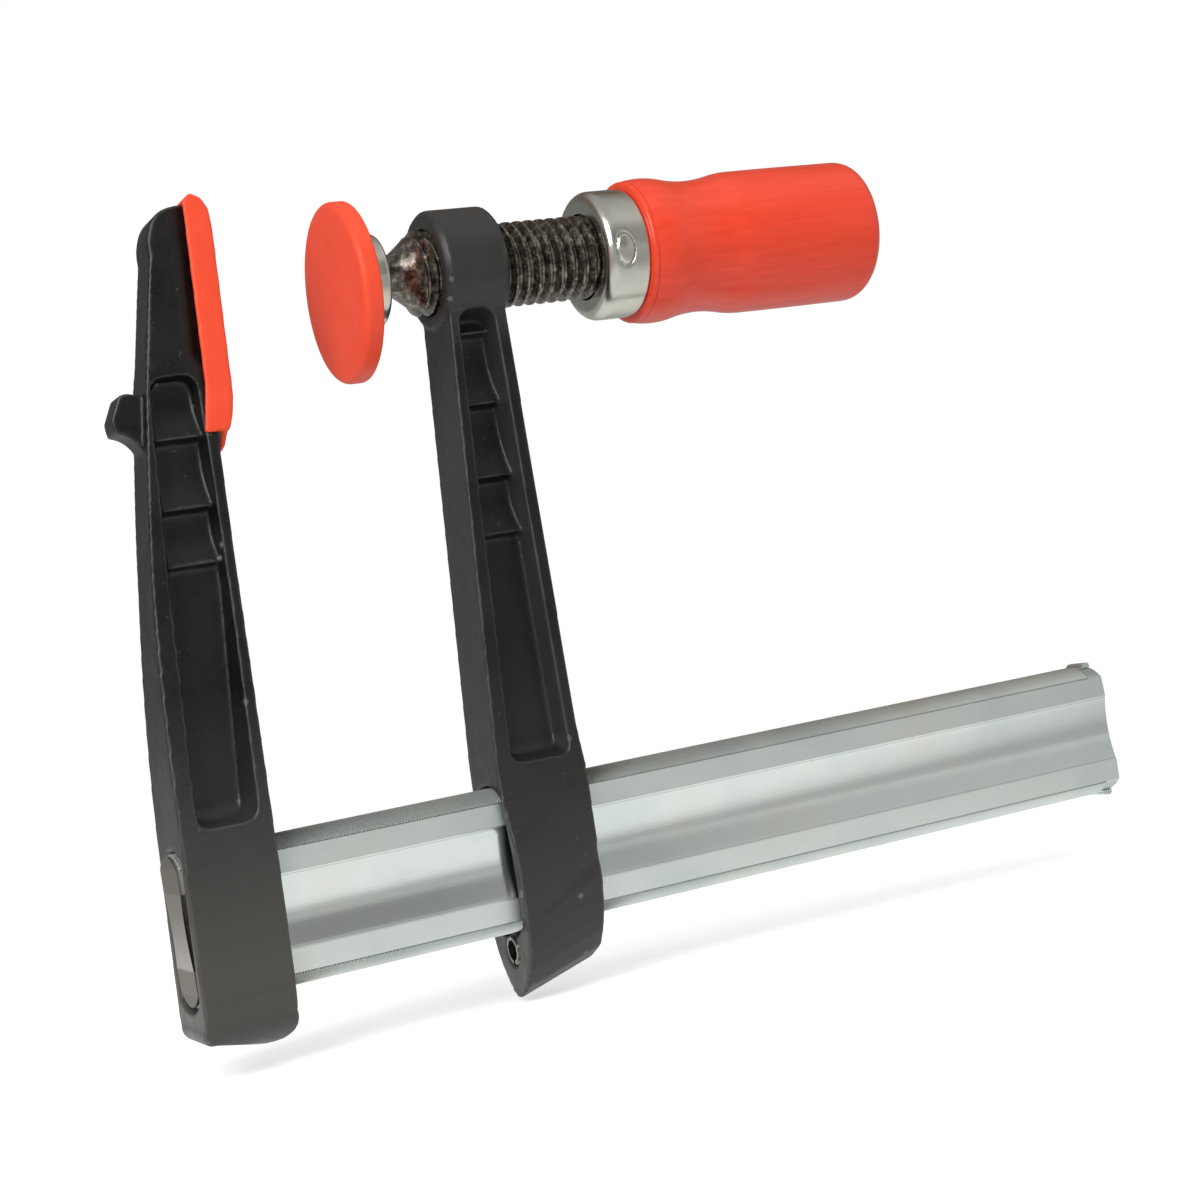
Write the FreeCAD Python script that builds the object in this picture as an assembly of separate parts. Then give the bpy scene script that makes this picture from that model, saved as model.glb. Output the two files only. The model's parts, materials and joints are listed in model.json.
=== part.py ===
import FreeCAD
import Part
import math
import os

V = FreeCAD.Vector

# Rail
RAIL_HEIGHT = 28.0
RAIL_THICKNESS = 12.7
RAIL_EDGE_RISE = 2.6
RAIL_GROOVE_HALF = 6.8
RAIL_GROOVE_DEPTH = 1.1
RAIL_BACK = -20.0
RAIL_FREE_END = 185.2
STOP_NUB_LENGTH = 3.0
STOP_NUB_RISE = 1.3

# Throat, measured from the rail's upper edge to the spindle axis
THROAT = 100.0

# Jaw
JAW_FACE_AT_AXIS = 6.6
JAW_TOE_IN_DEG = 2.9
JAW_CAP_FRONT_WALL = 2.2
JAW_CAP_SIDE_WALL = 1.3

# Arm castings
ARM_TOP_HALF = 5.1
ARM_NECK_HALF = 5.8
FIXED_FOOT_HALF = 9.7
LUG_HALF = 3.6
WEB_DEEP = 2.2
WEB_SHALLOW = 4.3
WEB_FLAT = 2.7

# Sliding arm
BOSS_RADIUS = 11.8
BOSS_INNER_X = 49.0
BOSS_OUTER_X = 62.5
BOSS_EDGE = 1.2
SLIDE_HALF = 7.4
SLIDE_FOOT_HALF = 9.5
FOOT_INNER_X = 42.3
FOOT_SLOPE = 0.6

# Spindle
THREAD_RADIUS = 8.3
THREAD_START_X = 45.0
TANG_RADIUS = 4.6
TANG_END_X = 128.0

# Swivel plate
SWIVEL_CENTRE_X = 39.2
HEAD_RADIUS = 5.6
HEAD_RIM_DEG = 63
CUP_RIM_DEG = 54
CUP_WALL = 0.75
PLATE_FRONT_X = 30.0
PLATE_THICKNESS = 3.8
HUB_REAR_X = 39.0
HUB_RADIUS = 9.0
HUB_BORE = 6.9
PLATE_HANG = 0.65
CAP_HANG = 1.7
PLATE_CAP_RADIUS = 17.25
PLATE_CAP_WALL = 1.4
PLATE_CAP_SIDE_WALL = 1.2
PLATE_CAP_LIP = 0.6
PLATE_CAP_REAR_HOLE = 12.2
NECK_RADIUS = 3.4
RING_INNER = 4.6
RING_THICKNESS = 0.8
LIP_THICKNESS = 0.4
LIP_INNER = 5.3

# Handle end
FERRULE_FRONT_X = 82.9
FERRULE_END_X = 92.0
FERRULE_RADIUS = 12.8
FERRULE_WALL = 1.3
FERRULE_HOLE = 8.6
BEAD_RADIUS = 14.5
WAIST_RADIUS = 13.25
GRIP_RADIUS = 14.45
HANDLE_END_X = 145.7
HANDLE_PIN_RADIUS = 1.9
HANDLE_PIN_ANGLE_DEG = -6.5
HANDLE_PIN_X = 86.4

# Roll pin
ROLL_PIN_RADIUS = 3.0
ROLL_PIN_WALL = 1.0
ROLL_PIN_SLOT = 0.8
ROLL_PIN_LENGTH = 9.5

# Clearances
RUNNING = 0.05
LOOSE = 0.3
WINDOW_SIDE = 0.35
WINDOW_END = 0.9

# Values that follow from the ones above
CAP_DROP = PLATE_HANG + CAP_HANG
DISC_RADIUS = PLATE_CAP_RADIUS - PLATE_CAP_SIDE_WALL - CAP_HANG
PLATE_REAR_X = PLATE_FRONT_X + PLATE_THICKNESS
RAIL_HALF = RAIL_HEIGHT / 2
RAIL_SIDE = RAIL_THICKNESS / 2
AXIS_Z = RAIL_HALF + THROAT
TOE = math.radians(JAW_TOE_IN_DEG)
PIN_Z = -(RAIL_HALF + LOOSE + ROLL_PIN_RADIUS)


def xz(a, b):
    return V(a, 0, b)


def yz(a, b):
    return V(0, a, b)


def face(to3d, start, *moves):
    """Closed face: a move of two numbers is a line, of four an arc through the first two."""
    edges = []
    here = to3d(*start)
    for move in moves + (start,):
        there = to3d(*move[-2:])
        if there.distanceToPoint(here) < 1e-6:
            continue
        if len(move) == 4:
            edges.append(Part.Arc(here, to3d(*move[:2]), there).toShape())
        else:
            edges.append(Part.makeLine(here, there))
        here = there
    return Part.Face(Part.Wire(edges))


def side_plate(half, start, *moves):
    """Solid with the given XZ outline, reaching half to each side of the middle plane."""
    flat = face(xz, start, *moves)
    flat.translate(V(0, -half, 0))
    return flat.extrude(V(0, 2 * half, 0))


def both_sides(shape):
    return shape.fuse(shape.mirror(V(0, 0, 0), V(0, 1, 0)))


def turned(start, *moves, drop=0):
    """Solid of revolution from an (x, radius) outline, about an axis drop below the spindle's."""
    height = AXIS_Z - drop
    flat = face(xz, start, *moves)
    flat.translate(V(0, 0, height))
    return flat.revolve(V(0, 0, height), V(1, 0, 0), 360)


def cut_corners(points, size, steps=3):
    """Replace each corner of a polygon by short facets that follow a round of the given size."""
    result = []
    count = len(points)
    for i, (x, z) in enumerate(points):
        arms = []
        for other in (points[i - 1], points[(i + 1) % count]):
            dx, dz = other[0] - x, other[1] - z
            length = math.hypot(dx, dz)
            arms.append((dx / length * size, dz / length * size))
        (ax, az), (bx, bz) = arms
        for k in range(steps + 1):
            t = k / steps
            a, b = (1 - t) ** 2, t ** 2
            result.append((x + a * ax + b * bx, z + a * az + b * bz))
    return result


def drafted(floor, mouth, y_floor, y_mouth, corner):
    """Pocket with round corners between two XZ outlines at different depths."""
    wires = []
    for points, y in ((floor, y_floor), (mouth, y_mouth)):
        ring = [V(x, y, z) for x, z in cut_corners(points, corner)]
        wires.append(Part.makePolygon(ring + ring[:1]))
    return Part.makeLoft(wires, True, True)


def stadium(x0, x1, grow_side, grow_top, grow_bottom):
    """Bar with the rail's outer profile, grown by clearances, without its grooves."""
    side = RAIL_SIDE + grow_side
    top = RAIL_HALF + grow_top
    bottom = RAIL_HALF + grow_bottom
    flat = face(
        yz,
        (-side, bottom * -1 + RAIL_EDGE_RISE),
        (-side, top - RAIL_EDGE_RISE),
        (0, top, side, top - RAIL_EDGE_RISE),
        (side, bottom * -1 + RAIL_EDGE_RISE),
        (0, -bottom, -side, bottom * -1 + RAIL_EDGE_RISE),
    )
    flat.translate(V(x0, 0, 0))
    return flat.extrude(V(x1 - x0, 0, 0))


def web(ledges, end_z, x0, x1):
    """The floor between the flanges: scoops that start deep under each ledge, then a flat."""
    moves = [(WEB_DEEP, ledges[0])]
    for upper, lower in zip(ledges, ledges[1:]):
        span = upper - lower
        dip = WEB_DEEP + 0.12 * (WEB_SHALLOW - WEB_DEEP)
        moves.append((dip, upper - 0.55 * span, WEB_SHALLOW, lower + 1.0))
        last = lower == ledges[-1]
        moves.append((WEB_FLAT if last else WEB_DEEP, lower))
    moves.append((WEB_FLAT, end_z + 6))
    moves.append((WEB_FLAT + 1.6, end_z + 1.6, WEB_FLAT + 6, end_z))
    moves.append((0, end_z))
    half = face(yz, (0, ledges[0]), *moves)
    half.translate(V(x0, 0, 0))
    return both_sides(half.extrude(V(x1 - x0, 0, 0)))


def make_rail():
    groove = RAIL_SIDE - RAIL_GROOVE_DEPTH
    edge_z = RAIL_HALF - RAIL_EDGE_RISE
    flat = face(
        yz,
        (-RAIL_SIDE, -edge_z),
        (-RAIL_SIDE, -RAIL_GROOVE_HALF),
        (-groove, 0, -RAIL_SIDE, RAIL_GROOVE_HALF),
        (-RAIL_SIDE, edge_z),
        (0, RAIL_HALF, RAIL_SIDE, edge_z),
        (RAIL_SIDE, RAIL_GROOVE_HALF),
        (groove, 0, RAIL_SIDE, -RAIL_GROOVE_HALF),
        (RAIL_SIDE, -edge_z),
        (0, -RAIL_HALF, -RAIL_SIDE, -edge_z),
    )
    flat.translate(V(RAIL_BACK, 0, 0))
    bar = flat.extrude(V(RAIL_FREE_END - RAIL_BACK, 0, 0))
    nub_x = RAIL_FREE_END - STOP_NUB_LENGTH
    for sign in (1, -1):
        z_out = sign * (RAIL_HALF + STOP_NUB_RISE)
        z_in = sign * (RAIL_HALF - 2)
        nub = side_plate(
            RAIL_SIDE * 0.45,
            (nub_x, z_in),
            (nub_x + 1.6, z_out),
            (RAIL_FREE_END - 0.5, z_out),
            (RAIL_FREE_END, z_out - sign * 0.5),
            (RAIL_FREE_END, z_in),
        )
        bar = bar.fuse(nub)
    return bar.removeSplitter()


def make_fixed_arm():
    slope = math.tan(TOE)
    nose_z = AXIS_Z - 20
    nose_top_z = AXIS_Z + 12
    face_x = JAW_FACE_AT_AXIS - JAW_CAP_FRONT_WALL
    nose_x = face_x - (AXIS_Z - nose_z) * slope
    nose_top_x = face_x + (nose_top_z - AXIS_Z) * slope
    outline = side_plate(
        12,
        (-2.9, 2 - RAIL_HALF),
        (-1.6, RAIL_HALF + 6.5),
        (0.55, AXIS_Z - 54),
        (1.5, AXIS_Z - 30),
        (nose_x, nose_z),
        (nose_top_x, nose_top_z),
        (3.9, nose_top_z + 3.3, 1.8, nose_top_z + 4.1),
        (-2.6, AXIS_Z + 13.9, -5.1, AXIS_Z + 7),
        (-10.1, AXIS_Z - 17),
        (-12.3, AXIS_Z - 31),
        (-16.4, (AXIS_Z + RAIL_HALF) / 2 - 12, -18.8, RAIL_HALF + 6),
        (-20.5, -RAIL_HALF - 3.6),
        (-20.3, -RAIL_HALF - 6, -18.2, -RAIL_HALF - 6.8),
        (-8.0, -RAIL_HALF - 9.4),
        (-4.2, -RAIL_HALF - 8.2, -3.3, -RAIL_HALF - 3.5),
    )
    foot = FIXED_FOOT_HALF
    neck = ARM_NECK_HALF
    front = face(
        yz,
        (-ARM_TOP_HALF, AXIS_Z + 17),
        (ARM_TOP_HALF, AXIS_Z + 17),
        (neck, AXIS_Z - 18),
        (neck + 0.1, AXIS_Z - 52),
        (neck + 1.6, RAIL_HALF + 30, foot - 0.6, RAIL_HALF + 8),
        (foot, 4.0, foot, 2 - RAIL_HALF),
        (foot - 2.3, -RAIL_HALF - 6.2, 0, -RAIL_HALF - 9.5),
        (2.3 - foot, -RAIL_HALF - 6.2, -foot, 2 - RAIL_HALF),
        (-foot, 4.0, 0.6 - foot, RAIL_HALF + 8),
        (-neck - 1.6, RAIL_HALF + 30, -neck - 0.1, AXIS_Z - 52),
        (-neck, AXIS_Z - 18),
    )
    front.translate(V(-25, 0, 0))
    body = outline.common(front.extrude(V(35, 0, 0)))

    # The head thins towards its back and towards the nose from a ridge
    low = AXIS_Z - 26
    wedge_back = Part.makeBox(30, 10, 50, V(-30, 0, low))
    wedge_back.rotate(V(0, 0, low), V(0, 0, 1), -16)
    wedge_back.translate(V(-4.0, ARM_NECK_HALF - 0.05, 0))
    wedge_back.rotate(V(-4.0, 0, low + 8), V(0, 1, 0), 6)
    wedge_nose = Part.makeBox(20, 10, 50, V(0, 0, low))
    wedge_nose.rotate(V(0, 0, low), V(0, 0, 1), -9)
    wedge_nose.translate(V(-3.0, ARM_NECK_HALF - 0.05, 0))
    wedge_nose.rotate(V(-3.0, 0, low + 8), V(0, 1, 0), 4)
    head_zone = Part.makeBox(40, 20, 50, V(-30, 0, low))
    cut = wedge_back.fuse(wedge_nose).common(head_zone)
    body = body.cut(both_sides(cut))

    # Lug behind the jaw
    lug = side_plate(
        LUG_HALF,
        (-9.0, AXIS_Z - 18),
        (-13.2, AXIS_Z - 17),
        (-14.7, AXIS_Z - 17.2),
        (-16.7, AXIS_Z - 21.4),
        (-16.5, AXIS_Z - 24),
        (-13.4, AXIS_Z - 25.6, -12.0, AXIS_Z - 31),
        (-9.0, AXIS_Z - 31),
    )
    body = body.fuse(lug)

    # Pockets between the flanges
    top = AXIS_Z - 14.7
    low = RAIL_HALF + 3.3
    floor = [
        (-9.0, top - 1), (-1.3, top - 1), (-1.7, AXIS_Z - 30), (-2.5, AXIS_Z - 54),
        (-6.0, low + 2), (-15.0, low + 2),
    ]
    mouth = [
        (-9.6, top), (0.5, top), (0.3, AXIS_Z - 30), (-0.5, AXIS_Z - 54),
        (-4.1, low), (-15.7, low),
    ]
    pocket = drafted(floor, mouth, 1.0, 10.0, 2.8)
    ledges = [top - 1, AXIS_Z - 27.3, AXIS_Z - 40, AXIS_Z - 50.2]
    keep = web(ledges, low, -22, 4)
    body = body.cut(both_sides(pocket).cut(keep))

    # Rail seat, open at the back with a small flare for the staking
    body = body.cut(stadium(-25, 5, 0, 0, 0))
    mouth_ring = stadium(-25, RAIL_BACK + 1.6, 0.7, 0.7, 0.7)
    body = body.cut(mouth_ring)
    return body.removeSplitter()


def make_jaw_cap(arm):
    slope = math.tan(TOE)
    low_z = AXIS_Z - 19.7
    low_x = JAW_FACE_AT_AXIS - (AXIS_Z - low_z) * slope
    end_z = AXIS_Z - 26.3
    top_z = AXIS_Z + 11.5
    top_x = JAW_FACE_AT_AXIS + (top_z - AXIS_Z) * slope
    half = ARM_TOP_HALF + JAW_CAP_SIDE_WALL
    shell = side_plate(
        half,
        (-0.9, end_z),
        (0.7, end_z + 9),
        (2.4, top_z + 5),
        (3.9, top_z + 6.3),
        (top_x - 1.4, top_z + 5.4),
        (top_x - 0.2, top_z + 3.2),
        (top_x, top_z),
        (low_x, low_z),
        (low_x - 0.7, low_z - 3.6),
        (3.8, end_z),
    )
    corner = Part.makeBox(6, 6, 60, V(0, 0, end_z - 5))
    corner.rotate(V(0, 0, 0), V(0, 0, 1), 45)
    corner.rotate(V(0, 0, end_z), V(0, 1, 0), JAW_TOE_IN_DEG)
    edge_x = low_x - (low_z - end_z) * slope
    corner.translate(V(edge_x - 0.85, half, 0))
    shell = shell.cut(both_sides(corner))
    tail = side_plate(
        half - 1.8,
        (0.2, end_z),
        (3.75, end_z),
        (2.9, end_z - 2.5),
        (1.6, end_z - 3.9),
        (0.2, end_z - 3.9),
    )
    return shell.fuse(tail).cut(arm).removeSplitter()


def make_sliding_arm():
    outline = side_plate(
        12,
        (50.4, AXIS_Z),
        (43.2, RAIL_HALF + 8),
        (42.7, 12.0, 43.0, 2.0),
        (FOOT_INNER_X, -RAIL_HALF - 11.8),
        (42.5, -RAIL_HALF - 14.2, 44.6, -RAIL_HALF - 13.8),
        (56.0, -RAIL_HALF - 7),
        (58.4, -RAIL_HALF - 4.8, 59.2, -RAIL_HALF),
        (59.7, -2.0),
        (60.7, RAIL_HALF + 4),
        (61.5, AXIS_Z - 8),
        (61.5, AXIS_Z),
    )
    half = SLIDE_HALF
    foot = SLIDE_FOOT_HALF
    front = face(
        yz,
        (-half, AXIS_Z + 30),
        (half, AXIS_Z + 30),
        (half, RAIL_HALF + 2),
        (half + 0.5, 9.0, foot - 0.3, 3.0),
        (foot, -3.0, foot - 0.1, 1 - RAIL_HALF),
        (foot - 1.9, -RAIL_HALF - 9.3, 0, -RAIL_HALF - 14.2),
        (1.9 - foot, -RAIL_HALF - 9.3, 0.1 - foot, 1 - RAIL_HALF),
        (-foot, -3.0, 0.3 - foot, 3.0),
        (-half - 0.5, 9.0, -half, RAIL_HALF + 2),
    )
    along = V(1, 0, FOOT_SLOPE)
    front.translate(V(FOOT_INNER_X, 0, 0) - along * 6)
    body = outline.common(front.extrude(along * 40))

    axis = V(1, 0, 0)
    boss = turned(
        (BOSS_INNER_X, 0),
        (BOSS_INNER_X, BOSS_RADIUS - BOSS_EDGE),
        (BOSS_INNER_X + BOSS_EDGE, BOSS_RADIUS),
        (BOSS_OUTER_X - BOSS_EDGE, BOSS_RADIUS),
        (BOSS_OUTER_X, BOSS_RADIUS - BOSS_EDGE),
        (BOSS_OUTER_X, 0),
    )
    body = body.fuse(boss)

    top = AXIS_Z - 8.9
    low = RAIL_HALF + 3.4
    floor = [(52.2, top - 1.5), (57.7, top - 1.5), (57.1, low + 3), (46.9, low + 3)]
    mouth = [(51.5, top), (59.3, top), (58.6, low), (46.1, low)]
    pocket = drafted(floor, mouth, 1.0, 9.0, 2.2)
    keep = web([top, AXIS_Z - 14.1, AXIS_Z - 28, AXIS_Z - 42.2, AXIS_Z - 53.2], low, 40, 64)
    body = body.cut(both_sides(pocket).cut(keep))

    body = body.cut(stadium(35, 70, WINDOW_SIDE, LOOSE, WINDOW_END))
    body = body.cut(Part.makeCylinder(THREAD_RADIUS + RUNNING, 30, V(40, 0, AXIS_Z), axis))
    start = V(FOOT_INNER_X - 10, 0, PIN_Z)
    body = body.cut(Part.makeCylinder(ROLL_PIN_RADIUS, ROLL_PIN_LENGTH + 10, start, axis))
    return body.removeSplitter()


def make_roll_pin():
    axis = V(1, 0, 0)
    start = V(FOOT_INNER_X + 0.1, 0, PIN_Z)
    length = ROLL_PIN_LENGTH - 0.2
    pin = Part.makeCylinder(ROLL_PIN_RADIUS, length, start, axis)
    pin = pin.makeChamfer(0.4, [e for e in pin.Edges if e.Closed])
    pin = pin.cut(Part.makeCylinder(ROLL_PIN_RADIUS - ROLL_PIN_WALL, length, start, axis))
    slot = Part.makeBox(length, ROLL_PIN_SLOT, ROLL_PIN_RADIUS + 1)
    slot.translate(start + V(0, -ROLL_PIN_SLOT / 2, -ROLL_PIN_RADIUS - 1))
    return pin.cut(slot)


def make_spindle():
    head = dome(HEAD_RADIUS, 0, 30, HEAD_RIM_DEG)
    seat_x = FERRULE_FRONT_X + 4
    return turned(
        *head,
        (head[-1][0] + 0.1, NECK_RADIUS),
        (HUB_REAR_X + 0.2, NECK_RADIUS),
        (THREAD_START_X - 3, NECK_RADIUS + 0.7),
        (THREAD_START_X, THREAD_RADIUS - 1.3),
        (THREAD_START_X + 1.5, THREAD_RADIUS),
        (seat_x, THREAD_RADIUS),
        (seat_x, TANG_RADIUS),
        (TANG_END_X, TANG_RADIUS),
        (TANG_END_X, 0),
    )


def dome(radius, *degrees):
    """Outline points round the swivel centre, at angles from the front of its axis."""
    points = []
    for angle in degrees:
        turn = math.radians(angle)
        points.append((SWIVEL_CENTRE_X - radius * math.cos(turn), radius * math.sin(turn)))
    return points


def make_thrust_cup():
    inner = dome(HEAD_RADIUS + RUNNING, 0, 30, CUP_RIM_DEG)
    outer = dome(HEAD_RADIUS + RUNNING + CUP_WALL, CUP_RIM_DEG, 30, 0)
    return turned(*inner, *outer)


def make_pressure_plate():
    floor_x = SWIVEL_CENTRE_X - HEAD_RADIUS - RUNNING - CUP_WALL - RUNNING
    inner_x = PLATE_FRONT_X + PLATE_CAP_WALL
    disc_rear = PLATE_REAR_X - PLATE_CAP_LIP
    return turned(
        (inner_x, 0),
        (inner_x, DISC_RADIUS),
        (disc_rear, DISC_RADIUS),
        (disc_rear, HUB_RADIUS),
        (HUB_REAR_X - 0.7, HUB_RADIUS),
        (HUB_REAR_X, HUB_RADIUS - 0.7),
        (HUB_REAR_X, LIP_INNER),
        (HUB_REAR_X - LIP_THICKNESS, LIP_INNER),
        (HUB_REAR_X - LIP_THICKNESS, HUB_BORE),
        (floor_x, HUB_BORE),
        (floor_x, 0),
        drop=PLATE_HANG,
    )


def make_retaining_ring():
    rear = HUB_REAR_X - LIP_THICKNESS
    ring_front = rear - RING_THICKNESS
    ring = turned(
        (ring_front, RING_INNER),
        (ring_front, HUB_BORE),
        (rear, HUB_BORE),
        (rear, RING_INNER),
        drop=PLATE_HANG,
    )
    gap = Part.makeBox(4, 1.6, 10, V(ring_front - 1, -0.8, AXIS_Z - 11))
    return ring.cut(gap)


def make_plate_cap():
    rim = 0.9
    radius = PLATE_CAP_RADIUS
    inner_x = PLATE_FRONT_X + PLATE_CAP_WALL
    disc_rear = PLATE_REAR_X - PLATE_CAP_LIP
    room = radius - PLATE_CAP_SIDE_WALL
    return turned(
        (PLATE_FRONT_X, 0),
        (PLATE_FRONT_X, radius - rim),
        (PLATE_FRONT_X + rim, radius),
        (PLATE_REAR_X, radius),
        (PLATE_REAR_X, PLATE_CAP_REAR_HOLE),
        (disc_rear, PLATE_CAP_REAR_HOLE),
        (disc_rear, room),
        (inner_x, room),
        (inner_x, 0),
        drop=CAP_DROP,
    )


def make_ferrule(pin):
    edge = 1.7
    step_x = FERRULE_FRONT_X + 2.2
    inner = FERRULE_RADIUS - FERRULE_WALL
    body = turned(
        (FERRULE_FRONT_X, FERRULE_HOLE),
        (FERRULE_FRONT_X, FERRULE_RADIUS - edge),
        (FERRULE_FRONT_X + edge, FERRULE_RADIUS),
        (FERRULE_END_X, FERRULE_RADIUS),
        (FERRULE_END_X, inner),
        (step_x, inner),
        (step_x, FERRULE_HOLE),
    )
    return body.cut(pin)


def make_handle(pin):
    spigot = FERRULE_RADIUS - FERRULE_WALL
    seat_x = FERRULE_FRONT_X + 4
    bead_x = FERRULE_END_X
    end_x = HANDLE_END_X
    body = turned(
        (seat_x, TANG_RADIUS),
        (seat_x, spigot),
        (bead_x, spigot),
        (bead_x, BEAD_RADIUS - 0.8),
        (bead_x + 1.4, BEAD_RADIUS),
        (bead_x + 6.2, BEAD_RADIUS),
        (bead_x + 12, WAIST_RADIUS + 0.1),
        (bead_x + 16.5, WAIST_RADIUS + 0.1),
        (bead_x + 23.5, GRIP_RADIUS),
        (end_x - 2.6, GRIP_RADIUS),
        (end_x, GRIP_RADIUS - 2.6),
        (end_x, 0),
        (TANG_END_X, 0),
        (TANG_END_X, TANG_RADIUS),
    )
    return body.cut(pin)


def make_handle_pin():
    reach = FERRULE_RADIUS + 0.35
    pin = Part.makeCylinder(HANDLE_PIN_RADIUS, 2 * reach, V(0, 0, -reach), V(0, 0, 1))
    pin = pin.makeChamfer(0.6, [e for e in pin.Edges if e.Closed])
    pin.rotate(V(0, 0, 0), V(1, 0, 0), 90 - HANDLE_PIN_ANGLE_DEG)
    pin.translate(V(HANDLE_PIN_X, 0, AXIS_Z))
    return pin


def main():
    arm = make_fixed_arm()
    pin = make_handle_pin()
    spindle = make_spindle().cut(pin)
    nodes = {
        "rail": make_rail(),
        "fixed_arm": arm,
        "fixed_jaw_cap": make_jaw_cap(arm),
        "sliding_arm": make_sliding_arm(),
        "roll_pin": make_roll_pin(),
        "spindle": spindle,
        "thrust_cup": make_thrust_cup(),
        "pressure_plate": make_pressure_plate(),
        "retaining_ring": make_retaining_ring(),
        "plate_cap": make_plate_cap(),
        "ferrule": make_ferrule(pin),
        "handle": make_handle(pin),
        "handle_pin": pin,
    }
    os.makedirs("parts", exist_ok=True)
    for name, shape in nodes.items():
        placed = shape.copy()
        placed.translate(V(-JAW_FACE_AT_AXIS, 0, -AXIS_Z))
        solids = placed.Solids
        box = placed.BoundBox
        print(name, len(solids), placed.isValid(), round(placed.Volume, 1),
              [round(v, 2) for v in (box.XMin, box.XMax, box.YMin, box.YMax, box.ZMin, box.ZMax)])
        if len(solids) == 1:
            placed = solids[0]
        placed.exportStep("parts/" + name + ".step")


main()
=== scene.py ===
# %% [markdown]
# # A quick release bar clamp
# The clamp is a grooved steel rail with two black castings on it. The left one is fixed, the
# right one slides, and a screw with a wooden handle runs through the top of the sliding one.
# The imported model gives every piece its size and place. This lesson dresses it: it makes the
# rail's milled edges, the thread, the soft cast edges and the finishes.

# %% Load the frame
import bpy
import json
import math
from mathutils import Matrix, Vector

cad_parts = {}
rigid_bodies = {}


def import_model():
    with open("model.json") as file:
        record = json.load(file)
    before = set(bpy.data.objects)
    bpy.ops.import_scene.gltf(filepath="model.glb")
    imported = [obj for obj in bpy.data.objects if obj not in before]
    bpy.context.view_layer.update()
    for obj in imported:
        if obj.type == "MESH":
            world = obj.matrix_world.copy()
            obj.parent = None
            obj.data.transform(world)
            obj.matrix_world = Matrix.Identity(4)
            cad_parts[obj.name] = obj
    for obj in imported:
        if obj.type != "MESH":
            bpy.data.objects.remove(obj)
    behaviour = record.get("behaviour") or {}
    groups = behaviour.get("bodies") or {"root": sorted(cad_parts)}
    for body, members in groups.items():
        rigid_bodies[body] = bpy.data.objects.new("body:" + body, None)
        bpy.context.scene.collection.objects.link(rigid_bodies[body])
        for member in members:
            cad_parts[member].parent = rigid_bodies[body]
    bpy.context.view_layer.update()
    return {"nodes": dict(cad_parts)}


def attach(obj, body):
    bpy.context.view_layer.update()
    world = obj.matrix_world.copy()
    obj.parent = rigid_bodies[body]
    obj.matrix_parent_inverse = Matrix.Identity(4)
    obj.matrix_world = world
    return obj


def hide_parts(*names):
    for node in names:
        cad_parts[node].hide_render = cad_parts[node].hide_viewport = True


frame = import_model()

# %% [markdown]
# ## Millimetres, selection and shading
# Blender counts in metres and the drawing in millimetres, so one short name turns one into the
# other. Every tool in edit mode acts on what is selected, so each step starts from nothing
# selected and picks its own faces by where they are.

# %% Small helpers
MM = 0.001
RAIL_Z = -114.0


def only(piece):
    bpy.ops.object.select_all(action="DESELECT")
    piece.select_set(True)
    bpy.context.view_layer.objects.active = piece


def apply_modifiers(piece):
    only(piece)
    for modifier in list(piece.modifiers):
        bpy.ops.object.modifier_apply(modifier=modifier.name)


def smooth(piece, degrees=35):
    only(piece)
    bpy.ops.object.shade_smooth_by_angle(angle=math.radians(degrees))


def settle(piece, name):
    """Put a finished piece's place in its mesh and give it its name."""
    only(piece)
    bpy.ops.object.transform_apply(location=True, rotation=True, scale=True)
    piece.name = name
    piece.data.name = name
    print(name, len(piece.data.polygons), "faces")
    return piece


def outward():
    bpy.ops.mesh.select_all(action="SELECT")
    bpy.ops.mesh.normals_make_consistent(inside=False)


def chain(points, closed=False):
    """Draw a line of vertices through points in millimetres, as by extruding one vertex."""
    bpy.ops.object.select_all(action="DESELECT")
    bpy.ops.mesh.primitive_plane_add(size=1 * MM, location=(0, 0, 0))
    piece = bpy.context.object
    bpy.ops.object.mode_set(mode="EDIT")
    bpy.ops.mesh.select_all(action="SELECT")
    bpy.ops.mesh.merge(type="CENTER")
    bpy.ops.transform.translate(value=Vector(points[0]) * MM)
    for here, there in zip(points, points[1:]):
        step = (Vector(there) - Vector(here)) * MM
        bpy.ops.mesh.extrude_region_move(TRANSFORM_OT_translate={"value": step})
    if closed:
        bpy.ops.mesh.select_all(action="SELECT")
        bpy.ops.mesh.edge_face_add()
    bpy.ops.object.mode_set(mode="OBJECT")
    return piece


def prism(points, run):
    """A closed outline through points, extruded by run, all in millimetres."""
    piece = chain(points, closed=True)
    bpy.ops.object.mode_set(mode="EDIT")
    bpy.ops.mesh.select_all(action="SELECT")
    bpy.ops.mesh.extrude_region_move(TRANSFORM_OT_translate={"value": Vector(run) * MM})
    outward()
    bpy.ops.object.mode_set(mode="OBJECT")
    return piece


def lathe(points, name, steps=96, drop=0):
    """Spin an (x, radius) outline in millimetres about the screw's axis, or drop below it."""
    piece = chain([(x, 0, r) for x, r in points])
    bpy.ops.object.mode_set(mode="EDIT")
    bpy.ops.mesh.select_all(action="SELECT")
    bpy.ops.mesh.spin(steps=steps, angle=2 * math.pi, center=(0, 0, 0), axis=(1, 0, 0))
    bpy.ops.mesh.select_all(action="SELECT")
    bpy.ops.mesh.remove_doubles(threshold=0.004 * MM)
    outward()
    bpy.ops.object.mode_set(mode="OBJECT")
    piece.location.z = -drop * MM
    return settle(piece, name)


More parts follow.
